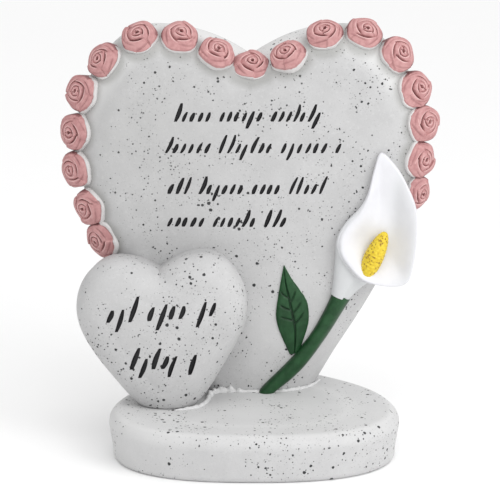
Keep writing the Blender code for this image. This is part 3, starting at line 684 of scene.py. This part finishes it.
def rose_border():
    """Each rose's place, the way out from it and its radius, in steps along the outline from the notch."""
    sides = 304
    ring = inset_ring(Heart(sides, **MAIN_FORM).outline, ROSE_INSET)
    right_half = sides // 2 + 1
    half, ways = ring[:right_half], outward(ring)[:right_half]
    legs = np.linalg.norm(np.diff(half, axis=0), axis=1)
    place_of = np.concatenate([[0.0], np.cumsum(legs)])
    length = place_of[-1]
    left_step = length * ROSE_RUN_LEFT / ROSES_LEFT
    right_step = length * ROSE_RUN_RIGHT / (ROSES_RIGHT * (1 - (ROSES_RIGHT - 1) * ROSE_CLOSING_RIGHT / 2))
    places = [0.0]
    places += [k * right_step * (1 - (k - 1) * ROSE_CLOSING_RIGHT / 2) for k in range(1, ROSES_RIGHT + 1)]
    places += [-k * left_step for k in range(1, ROSES_LEFT + 1)]
    edges = []
    for k, (place, (on, set_out, narrowed, broad)) in enumerate(zip(places, ROSES)):
        place += on if place >= 0 else -on
        flat = np.array([np.interp(abs(place), place_of, half[:, i]) for i in (0, 1)])
        leg = min(int(np.searchsorted(place_of, abs(place), side="left")), len(ways) - 1)
        away = ways[leg] if place else np.array((0.0, 1.0))
        if place < 0:
            flat, away = flat * (-1, 1), away * (-1, 1)
        dip = ROSE_NOTCH_DIP * math.sin(math.pi * min(1.0, abs(place) / ROSE_NOTCH_REACH))
        turn = math.acos(1 - min(1.0, (ROSE_INSET + dip) / MAIN.shoulder_width))
        foot = flat - away * dip
        centre = np.array((foot[0], MAIN.shoulder_depth * (1 - math.sin(turn)), foot[1]))
        tilt = math.sin(ROSE_TILT)
        normal = np.array((away[0] * tilt, -math.cos(ROSE_TILT), away[1] * tilt))
        along = np.array((-away[1], 0.0, away[0]))
        radius = left_step * ROSE_FULLNESS * (LAST_ROSE_SCALE if k == ROSES_RIGHT else 1.0)
        rose(f"rose_{k + 1}", centre, normal, along, radius, set_out, narrowed, broad, 900 + k)
        edges.append((centre[[0, 2]] + away * set_out, away, radius))
    return edges


def points_of(piece):
    """A piece's points as rows of x, y, z."""
    points = np.empty(len(piece.data.vertices) * 3)
    piece.data.vertices.foreach_get("co", points)
    return points.reshape(-1, 3)


def patch(flat, middle, spread):
    """A soft round patch, from 0 to 1."""
    return np.exp(-(np.linalg.norm(flat - middle, axis=1) / spread) ** 2)


def tone_main_heart(edges):
    """Painted shade on the large heart, beside the roses and at its upper left, and painted light, low on the
    face and on the rim behind the roses at its top."""
    flat = (points_of(main_heart) - SEAT)[:, [0, 2]]
    # painted shade at the upper left of the face
    painted_shade = 0.32 * patch(flat, (-0.046, 0.118), 0.04)
    # painted shade in a band beside each rose, on its side toward the face
    for middle, away, radius in edges:
        ray = flat - middle
        along = ray @ np.array((-away[1], away[0]))
        across = ray @ away
        gap = (np.hypot(along / radius, across / (0.8 * radius)) - 1) * radius * 0.8
        near = np.exp(-(np.clip(gap, 0, None) / 0.0021) ** 2)
        painted_shade = np.maximum(painted_shade, near * soft_step(0.3 * radius, -0.2 * radius, across))
    float_attribute(main_heart, "painted_shade", painted_shade)
    angle, far = MAIN.polar(flat)
    rim = np.interp(angle, *MAIN.outline_reach, period=TAU)
    # painted light on the rim behind the top roses, and low on the face
    edge = soft_step(0.86, 0.94, far / rim) * soft_step(0.115, 0.135, flat[:, 1])
    wear_and_painted_light = np.maximum(0.3 * patch(flat, (0.014, 0.03), 0.026), 0.85 * edge)
    float_attribute(main_heart, "wear_and_painted_light", wear_and_painted_light)


tone_main_heart(rose_border())


# Calla lily on the large heart's face: x to the right of its middle line, z above its foot

def on_main(shares):
    """Places on the large heart from shares of its half width and height."""
    return np.asarray(shares) * (MAIN_HALF_WIDTH, MAIN_HEIGHT)


SPATHE_OUTLINE = (
    (0.741, 0.67), (0.822, 0.636), (0.893, 0.58), (0.946, 0.515), (0.951, 0.44), (0.934, 0.37),
    (0.9, 0.318), (0.83, 0.305), (0.728, 0.309), (0.628, 0.322), (0.56, 0.35), (0.5, 0.395),
    (0.497, 0.44), (0.545, 0.48), (0.62, 0.518), (0.668, 0.56), (0.702, 0.625),
)
CUP_DEPTH = 0.0052


def spathe():
    """The flower: a curled sheet with a rolled rim on its left, a thin one on its right, a cupped inside."""
    outline = even_ring(through(on_main(SPATHE_OUTLINE), 10, closed=True), 220)
    heart = on_main((0.745, 0.42))
    low, tall = outline[:, 1].min(), np.ptp(outline[:, 1])
    rise = 0.003 + 0.0055 * (1 - (outline[:, 1] - low) / tall)
    # the left rim, from the tip to the left bulge, is rolled outward
    away = outline - heart
    leftness = soft_step(0.1, 0.75, -away[:, 0] / np.linalg.norm(away, axis=1))
    rings, folds = [], []
    # from the root in the face up to the lip
    for share, on_face, up, sunk in ((0.9, 1.0, 0.0, ROOT), (0.985, 0.7, 0.15, 0.0), (1.0, 0.0, 0.45, 0.0),
                                     (0.992, 0.0, 0.86, 0.0)):
        flat = heart + away * share
        rings.append(at_depth(flat, MAIN.depth(flat) * on_face - up * rise + sunk))
        # painted shade down the outer side of the rolled left rim
        folds.append(0.9 * leftness)
    for share in np.concatenate([[0.975], np.linspace(0.955, 0.03, 44)]):
        flat = heart + away * share
        rolled = 1 - share
        # the crest of the roll lies further in on the left than on the right
        crest = 0.03 + 0.085 * leftness
        inside = np.clip((rolled - crest) / (1 - crest), 0, 1)
        cup = 0.9 * (1 + np.cos(math.pi * (1 - inside) ** 1.7)) / 2
        over = np.clip(1 - rolled / crest, 0, 1)
        keep = (1 - inside) ** 1.5
        up = keep * rise + (1 - keep) * rise.mean()
        y = -up + CUP_DEPTH * cup * np.minimum(1, up / CUP_DEPTH) + 0.3 * rise * over ** 2
        # a soft fold runs up the right wing from the top of the spadix
        line = np.abs(flat[:, 0] - (0.0625 + 0.1 * (flat[:, 1] - 0.075)))
        ends = 1 - soft_step(0.092, 0.105, flat[:, 1])
        fold = np.exp(-(line / 0.0035) ** 2) * soft_step(0.062, 0.078, flat[:, 1]) * ends
        y = y + 0.0007 * fold
        # painted shade on the outer side of the rolled left rim and along the fold, and a greyer tone over
        # the right wing
        shade = 0.42 * soft_step(0.059, 0.068, flat[:, 0]) * (1 - over) + 0.9 * over * leftness
        rings.append(at_depth(flat, y))
        folds.append(np.clip(shade + 0.35 * fold, 0, 1))
    rings = [placed(r) for r in rings]
    piece = loft("lily_spathe", rings, LILY, apex=rings[-1].mean(axis=0))
    float_attribute(piece, "fold", np.append(np.concatenate(folds), folds[-1].mean()))


SPADIX_FOOT = on_main((0.68, 0.325)) - (0.0028, 0.0008)
SPADIX_HEAD = on_main((0.785, 0.462)) - (0.0011, 0.0012)
SPADIX_RADIUS, SPADIX_REACH = 0.0048, 0.0095
GRAIN_PITCH, GRAIN_HEIGHT = 0.00155, 0.00016


def spadix():
    """The yellow spike in the flower, covered in small grains, with spots of painted shade where its pits
    are.
    """
    length = np.linalg.norm(SPADIX_HEAD - SPADIX_FOOT)
    along = (SPADIX_HEAD - SPADIX_FOOT) / length
    side = np.array((along[1], -along[0]))
    rows, sides = 90, 84
    t = np.linspace(0.005, 0.995, rows)[:, None]
    turn = around(sides)[None, :]
    girth = 0.0043 * np.sqrt(1 - (2 * t - 1) ** 2) * (1.1 - 0.22 * t)
    # grains in slanting rows
    u = t * length / GRAIN_PITCH
    v = turn / TAU * round(TAU * SPADIX_RADIUS / GRAIN_PITCH)
    r = girth + GRAIN_HEIGHT * (np.cos(TAU * u + math.pi * v) * np.cos(math.pi * v))
    flat = SPADIX_FOOT + (SPADIX_HEAD - SPADIX_FOOT) * t[..., None] + side * (r * np.cos(turn))[..., None]
    points = at_depth(flat, SPADIX_RADIUS - SPADIX_REACH - r * np.sin(turn))
    rng = np.random.default_rng(8)
    # dark spots of painted shade where the pits are; the mesh has no pits
    pits = np.zeros((rows, sides))
    for _ in range(95):
        pt, pa, size = rng.uniform(0.06, 0.94), rng.uniform(0, math.pi), rng.uniform(0.00028, 0.00052)
        away = np.hypot((t - pt) * length, (turn - pa) * girth)
        pits = np.maximum(pits, 1 - soft_step(size * 0.5, size, away))
    piece = loft("lily_spadix", [placed(p) for p in points], YELLOW)
    float_attribute(piece, "pit", pits.ravel() * 0.95)


def strip(name, lefts, rights, rise, material, mark, rows=70, columns=40, hollow=None):
    """A raised strip between two edge lines on the large heart, rooted in the face. hollow gives extra depth
    and mark the paint's attributes at (down, across), both from 0 to 1."""
    per = rows // (len(lefts) - 1) + 1
    left, right = through(lefts, per), through(rights, per)
    rows = len(left)
    down = np.linspace(0, 1, rows)[:, None]
    turn = np.linspace(0, math.pi, columns)[None, :]
    across = (1 - np.cos(turn)) / 2
    flat = left[:, None] * (1 - across[..., None]) + right[:, None] * across[..., None]
    up = rise(down) * np.sin(turn) ** 0.75
    down, across = np.broadcast_arrays(down, across)
    if hollow:
        up = up - hollow(down, across)
    face = MAIN.depth(flat)
    sunk = 0.0025
    top, root = at_depth(flat, face - up), at_depth(flat[:, ::-1], face[:, ::-1] + sunk)
    rings = [placed(np.concatenate([top[i], root[i][1:-1]])) for i in range(rows)]
    piece = loft(name, rings, material)
    below = np.zeros((rows, columns - 2))
    for attribute, values in mark(down, across).items():
        float_attribute(piece, attribute, np.concatenate([values, below], axis=1))


def funnel():
    """The flower's lower part, which narrows into the stem, with the overlap of its sheet."""
    lefts = on_main(((0.462, 0.276), (0.474, 0.32), (0.482, 0.37), (0.486, 0.415), (0.5, 0.445)))
    rights = on_main(((0.566, 0.256), (0.612, 0.278), (0.668, 0.296), (0.728, 0.304), (0.79, 0.315)))

    def overlap(down, across):
        line = across - (0.62 + 0.1 * down)
        return 0.0006 * soft_step(0.0, 0.03, line) * (1 - soft_step(0.5, 0.9, down))

    def mark(down, across):
        # the whole funnel takes a greenish-grey tone, partly its own colour and partly painted shade, with
        # more painted shade along the overlap of its sheet and past it toward its right
        line = np.abs(across - (0.62 + 0.1 * down))
        return {"fold": 1.15 + 0.15 * np.exp(-(line / 0.03) ** 2) + 0.12 * soft_step(0.6, 0.75, across)}

    def rise(down):
        return 0.0046 + 0.0022 * down - 0.0062 * soft_step(0.72, 0.98, down)

    strip("lily_funnel", lefts, rights, rise, LILY, mark, hollow=overlap)


STEM_LEFT = on_main(((0.478, 0.292), (0.448, 0.252), (0.368, 0.178), (0.272, 0.114), (0.195, 0.073),
                     (0.065, 0.01), (0.03, -0.02)))
STEM_RIGHT = on_main(((0.572, 0.254), (0.535, 0.226), (0.442, 0.153), (0.33, 0.078), (0.24, 0.034),
                      (0.14, -0.004), (0.1, -0.03)))


def stem():
    """The half-round stem. Its top end runs in under the funnel and its foot is left unpainted."""
    def mark(down, across):
        rim = np.maximum(soft_step(0.93, 0.995, across), 0.85 * soft_step(0.97, 1.0, 1 - across))
        # painted shade along both flanks of the half-round stem
        dark = 0.35 * soft_step(0.25, 0.0, across) + 0.25 * soft_step(0.7, 1, across)
        return {"edge": np.maximum(rim, soft_step(0.86, 0.9, down)), "vein_and_painted_shade": dark}

    strip("stem", STEM_LEFT, STEM_RIGHT, lambda down: 0.0044, GREEN, mark)


LEAF_LEFT = ((0.01455, 0.0582), (0.013, 0.0499), (0.0119, 0.043), (0.0111, 0.0361), (0.0117, 0.0311),
             (0.0135, 0.0256), (0.0173, 0.0169))
LEAF_RIGHT = ((0.01485, 0.0582), (0.0181, 0.0522), (0.0217, 0.047), (0.0248, 0.042), (0.0258, 0.0365),
              (0.0254, 0.03), (0.0215, 0.0176))


def leaf():
    """The leaf, with its cut midrib and three side veins on each half."""
    def veins(down, across):
        middle = 0.44 + 0.1 * down
        deep = np.exp(-((across - middle) / 0.035) ** 2)
        for start in (0.38, 0.54, 0.7):
            for way in (-1, 1):
                off = (across - middle) * way
                # side veins leave the rib and run out and up
                line = down - (start + (0.06 if way > 0 else 0.0)) + 0.34 * off
                ends = soft_step(0.0, 0.04, off) * (1 - soft_step(0.26, 0.4, off))
                vein_and_painted_shade = np.exp(-(line / 0.014) ** 2) * ends
                deep = np.maximum(deep, 0.8 * vein_and_painted_shade)
        return deep

    def hollow(down, across):
        return 0.00085 * veins(down, across) * soft_step(0, 0.08, down)

    def mark(down, across):
        rim = np.maximum(soft_step(0.955, 1.0, across), soft_step(0.045, 0.0, across))
        # painted shade in the cut midrib and side veins, and bare resin at the rim
        return {"vein_and_painted_shade": veins(down, across) * 0.9, "edge": rim * 0.95}

    def rise(down):
        return 0.0022 * (0.25 + 0.75 * np.sin(math.pi * np.clip(down * 0.86 + 0.06, 0, 1)))

    strip("leaf", LEAF_LEFT, LEAF_RIGHT, rise, GREEN, mark, rows=150, columns=72, hollow=hollow)


spathe()
spadix()
funnel()
stem()
leaf()


# Flower pot behind the large heart

def oval_ring(half_width, front, rear, front_fullness, rear_fullness, z, sides):
    """A level ring that is a superellipse, with its own depth and fullness before and behind."""
    turn = TAU * (np.arange(sides) + 0.5) / sides
    cos, sin = np.cos(turn), np.sin(turn)
    power = 2 / np.where(sin > 0, rear_fullness, front_fullness)
    x = half_width * np.sign(cos) * np.abs(cos) ** power
    y = np.where(sin > 0, rear, front) * np.sign(sin) * np.abs(sin) ** power
    return np.stack([x, y, np.full(sides, z)], 1)


def pot_ring(half_width, near, far, z):
    """A level ring of the pot, nearly straight toward the heart and round away from it."""
    middle = near + (far - near) * 0.35
    ring = oval_ring(half_width, middle - near, far - middle, 2 * POT_FULLNESS, POT_FULLNESS, z, 120)
    return ring + (0.0, middle, 0.0)


def pot():
    """The pot with its rolled rim and its inside down to the floor."""
    def width(z):
        return POT_HALF_WIDTH_FOOT + (POT_HALF_WIDTH_TOP - POT_HALF_WIDTH_FOOT) * z / POT_HEIGHT

    def reach(z):
        return MAIN_THICKNESS + POT_DEPTH_FOOT + (POT_DEPTH_TOP - POT_DEPTH_FOOT) * z / POT_HEIGHT

    rim = POT_HEIGHT - POT_RIM_HEIGHT
    near_out, near_in = MAIN_THICKNESS - ROOT, MAIN_THICKNESS + POT_WALL / 2
    levels = [(z, 0.0) for z in np.linspace(0.0, rim - 0.0004, 14)]
    levels += [(rim + 0.0004, POT_RIM_LIP * 0.25), (rim + 0.0014, POT_RIM_LIP * 0.9),
               (rim + 0.0022, POT_RIM_LIP), (POT_HEIGHT - 0.0012, POT_RIM_LIP),
               (POT_HEIGHT - 0.0004, POT_RIM_LIP - 0.0004), (POT_HEIGHT, POT_RIM_LIP - 0.0013)]
    rings = [pot_ring(width(z) + lip, near_out, reach(z) + lip, z) for z, lip in levels]
    for z, more in ((POT_HEIGHT, -0.0006), (POT_HEIGHT - 0.0006, 0.0), (0.06, 0.0), (0.03, 0.0),
                    (POT_FLOOR + 0.003, 0.0), (POT_FLOOR + 0.0008, 0.0007), (POT_FLOOR, 0.0025)):
        wall = POT_WALL + more
        rings.append(pot_ring(width(z) - wall, near_in, reach(z) - wall, z))
    uneven = unevenness(21, 0.024)
    rings[1:] = [ring + uneven(ring)[:, None] * (0.00012, 0.00012, 0) for ring in rings[1:]]
    loft("flower_pot", [placed(ring) for ring in rings], STONE)


pot()


# Oval base and the joint above it

BASE_SIDES = 320
TOP_SHARES = np.linspace(1, 0, 22)[1:-1]
BASE_UNEVEN = 0.00022


def base():
    """The plinth: its side leans in toward the ground, with a rounded edge round its top, where two soft
    bands of painted highlight lie.
    """
    levels = [(0.0, BASE_LEAN + BASE_FOOT_ROUND), (0.0004, BASE_LEAN + 0.0007), (BASE_FOOT_ROUND, BASE_LEAN)]
    side_top = BASE_HEIGHT - BASE_TOP_ROUND
    for share in np.linspace(0, 1, 12)[1:]:
        levels.append((BASE_FOOT_ROUND + (side_top - BASE_FOOT_ROUND) * share, BASE_LEAN * (1 - share)))
    for degrees in range(6, 91, 6):
        turn = math.radians(degrees)
        z = side_top + BASE_TOP_ROUND * math.sin(turn)
        levels.append((z, BASE_TOP_ROUND * (1 - math.cos(turn))))
    rings = []
    for z, inset in levels:
        rings.append(oval_ring(BASE_HALF_WIDTH - inset, BASE_FRONT - inset, BASE_REAR - inset,
                               BASE_FRONT_FULLNESS, BASE_REAR_FULLNESS, z, BASE_SIDES))
    top = rings[-1]
    rings += [top * (share, share, 1) for share in TOP_SHARES]
    uneven = unevenness(13, 0.034)
    moved = []
    for ring in rings:
        wave = uneven(ring)[:, None] * BASE_UNEVEN
        lift = soft_step(0.001, 0.004, ring[:, 2])[:, None]
        away = ring / (np.linalg.norm(ring[:, :2], axis=1)[:, None] + 1e-9)
        settle = np.concatenate([away[:, :2], np.full((len(ring), 1), 0.6)], axis=1)
        moved.append(ring + settle * (wave - BASE_UNEVEN) * lift)
    piece = loft("base", moved, BASE_STONE_PAINTED_LIGHTER, apex=(0.0, 0.0, BASE_HEIGHT - 0.0002))
    # painted highlights in two soft bands round its top, and, less, painted light over all of the top
    down = np.array([(BASE_HEIGHT - z) / BASE_TOP_ROUND for z, inset in levels])
    painted_light = np.maximum(0.45 * np.exp(-((down - 0.1) / 0.16) ** 2), 0.2 * soft_step(1.2, 0.4, down))
    highlight_band = np.exp(-((TOP_SHARES - 0.73) / 0.06) ** 2)
    top_painted_light = 0.34 + 0.3 * highlight_band + 0.25 * soft_step(0.6, 0.2, TOP_SHARES)
    painted_light = np.repeat(np.concatenate([painted_light, top_painted_light]), BASE_SIDES)
    # painted light toward its left end
    left = soft_step(-0.02, -0.056, points_of(piece)[:, 0])
    float_attribute(piece, "wear_and_painted_light", np.clip(np.append(painted_light, 0.62) + 0.34 * left, 0, 1))
    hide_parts("oval_base")


# Places along the hearts' foot, left to right, with the bead's height there. Past the small heart it follows
# the large one's face
BEAD_START = ((-0.0345, -0.0068, 0.0002), (-0.03, -0.0056, 0.0007), (-0.025, -0.003, 0.001),
              (-0.0215, 0.004, 0.001), (-0.0185, 0.0175, 0.0019))
BEAD_REST = ((-0.011, 0.0018), (-0.004, 0.0007), (0.006, 0.0005), (0.014, 0.0007), (0.019, 0.001),
             (0.023, 0.0009), (0.0265, 0.0007), (0.0295, 0.0003))
BEAD_SUNK = 0.0006


def joint_bead():
    """The ragged bead of joint compound that squeezed out where the hearts were set on the base."""
    rng = np.random.default_rng(31)
    run = list(BEAD_START)
    for x, tall in BEAD_REST:
        depth = float(MAIN.depth(np.array((x - MAIN_SHIFT, BEAD_SUNK))))
        run.append((x, MAIN_SETBACK + depth - BEAD_SUNK, tall))
    run = through(run, 22)
    sides = 14
    turn = around(sides)
    rings = []
    uneven = unevenness(17, 0.0032)
    for i, (x, y, tall) in enumerate(run):
        ahead = run[min(i + 1, len(run) - 1)] - run[max(i - 1, 0)]
        along = ahead[:2] / np.hypot(ahead[0], ahead[1])
        ragged = 1 + 0.45 * uneven(np.array([[x, y, 0.0]]))[0] + rng.uniform(-0.14, 0.14)
        wide, high = (0.0007 + 0.4 * tall) * (0.6 + 0.4 * ragged), tall * ragged
        above, below = np.maximum(0, np.sin(turn)), np.minimum(0, np.sin(turn))
        px = x + along[1] * wide * np.cos(turn)
        py = y - along[0] * wide * np.cos(turn)
        pz = BASE_HEIGHT - BEAD_SUNK + (high + BEAD_SUNK) * above + 0.0004 * below
        rings.append(np.stack([px, py, pz], 1))
    loft("joint_bead", rings, JOINT)


base()
joint_bead()


# Floor, light and camera

def floor():
    """A plain pale floor, with the faintest grain."""
    bpy.ops.mesh.primitive_plane_add(size=60)
    plane = bpy.context.object
    plane.name = "floor"
    nodes = Nodes(bpy.data.materials.new("pale_floor"))
    tone = nodes.mix(nodes.noise(3, 3), (0.93, 0.93, 0.93), (0.95, 0.95, 0.95))
    plane.data.materials.append(nodes.finish(tone, 0.9, nodes.bump(40, 3, 0.02, 0.001), 0.1))


def area_light(name, place, aim, size, power):
    """A soft box that faces its aim."""
    light = bpy.data.lights.new(name, "AREA")
    light.shape = "RECTANGLE"
    light.size, light.size_y = size
    light.energy = power
    lamp = bpy.data.objects.new(name, light)
    link(lamp)
    lamp.location = place
    lamp.rotation_euler = (Vector(aim) - Vector(place)).to_track_quat("-Z", "Y").to_euler()


floor()
ORNAMENT_MIDDLE, BASE_MIDDLE = (0.0, 0.02, 0.09), (0.0, -0.02, 0.03)
area_light("key", (0.45, -0.42, 0.45), ORNAMENT_MIDDLE, (0.35, 0.35), 1.4)
area_light("overhead", (-0.05, -0.45, 0.85), BASE_MIDDLE, (0.5, 0.4), 0.95)


def studio():
    """White all round, brighter toward the front right and above, where the studio's large window is."""
    world = bpy.data.worlds.new("studio")
    nodes = Nodes(world)
    window = Vector((0.6, -0.25, 0.76)).normalized()
    inputs = {0: nodes.place.node.outputs["Generated"], 1: window}
    toward = nodes.add("VectorMath", inputs, operation="DOT_PRODUCT").outputs["Value"]
    level = nodes.math("MULTIPLY_ADD", toward, 0.42, 0.79)
    nodes.feed(nodes.tree.nodes["Background"], {"Color": (1, 1, 1, 1), "Strength": level})
    bpy.context.scene.world = world
    bpy.context.scene.view_settings.view_transform = "Standard"


studio()

# Well back, straight in front, looking down a little
camera = bpy.data.cameras.new("camera")
camera.lens = 200.3
camera.sensor_width = 36
eye = bpy.data.objects.new("camera", camera)
eye.location = (-0.00186, -1.17103, 0.39)
eye.rotation_euler = (math.radians(75.7), 0, 0)
link(eye)
bpy.context.scene.camera = eye
